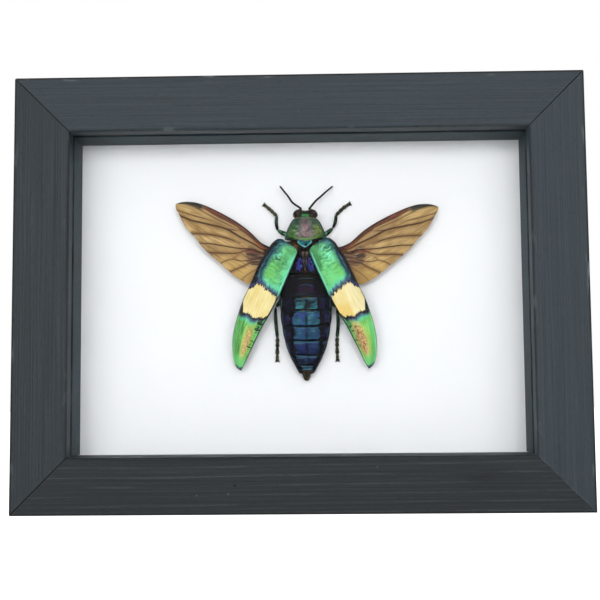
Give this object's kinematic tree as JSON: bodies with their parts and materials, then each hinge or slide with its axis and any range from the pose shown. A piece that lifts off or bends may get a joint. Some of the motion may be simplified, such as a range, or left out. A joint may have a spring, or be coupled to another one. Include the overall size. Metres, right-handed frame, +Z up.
{
  "type": "framed jewel beetle specimen",
  "caption": "Jewel beetle with spread wings and banded wing cases, pinned on white card behind glass in a small black wooden shadow box frame.",
  "frame": {"origin": "middle of the frame's outer box, at the bottom of the bottom rail", "axes": "+X to the viewer's right along the frame, +Y from the glass to the back, +Z up the frame to the beetle's head"},
  "size_m": [0.1524, 0.0276, 0.1165],
  "materials": {
    "stained_wood": "black stain over open straight grain, low sheen",
    "dark_strip": "smooth black stain, matt",
    "clear_glass": "clear polished",
    "white_card": "smooth matt white",
    "brown_board": "pressed fibre board, matt",
    "zinc_steel": "bright zinc, light tarnish",
    "black_pin": "black enamel",
    "body_shell": "blue-black to teal insect shell, glossy",
    "head_shell": "green insect shell with brown glossy eyes",
    "shield_shell": "purplish grey insect shell with green edges, finely pitted",
    "wing_case_shell": "iridescent green insect shell with a pale yellow band",
    "wing_membrane": "thin veined amber membrane",
    "leg_shell": "dark green-black insect shell"
  },
  "bodies": {
    "root": {"rail_top": "stained_wood", "rail_bottom": "stained_wood", "rail_left": "stained_wood", "rail_right": "stained_wood", "spacer_top": "dark_strip", "spacer_bottom": "dark_strip", "spacer_left": "dark_strip", "spacer_right": "dark_strip", "glass": "clear_glass", "mount_card": "white_card", "back_board": "brown_board", "framers_point_1": "zinc_steel", "framers_point_2": "zinc_steel", "framers_point_3": "zinc_steel", "framers_point_4": "zinc_steel", "framers_point_5": "zinc_steel", "framers_point_6": "zinc_steel", "hanger": "zinc_steel", "nail_left": "zinc_steel", "nail_right": "zinc_steel", "pin": "black_pin", "head": "head_shell", "prothorax": "shield_shell", "thorax": "body_shell", "abdomen": "body_shell", "elytron_left": "wing_case_shell", "elytron_right": "wing_case_shell", "hindwing_left": "wing_membrane", "hindwing_right": "wing_membrane", "foreleg_left": "leg_shell", "foreleg_right": "leg_shell", "midleg_left": "leg_shell", "midleg_right": "leg_shell", "hindleg_left": "leg_shell", "hindleg_right": "leg_shell", "antenna_left": "leg_shell", "antenna_right": "leg_shell"}
  },
  "joints": []
}
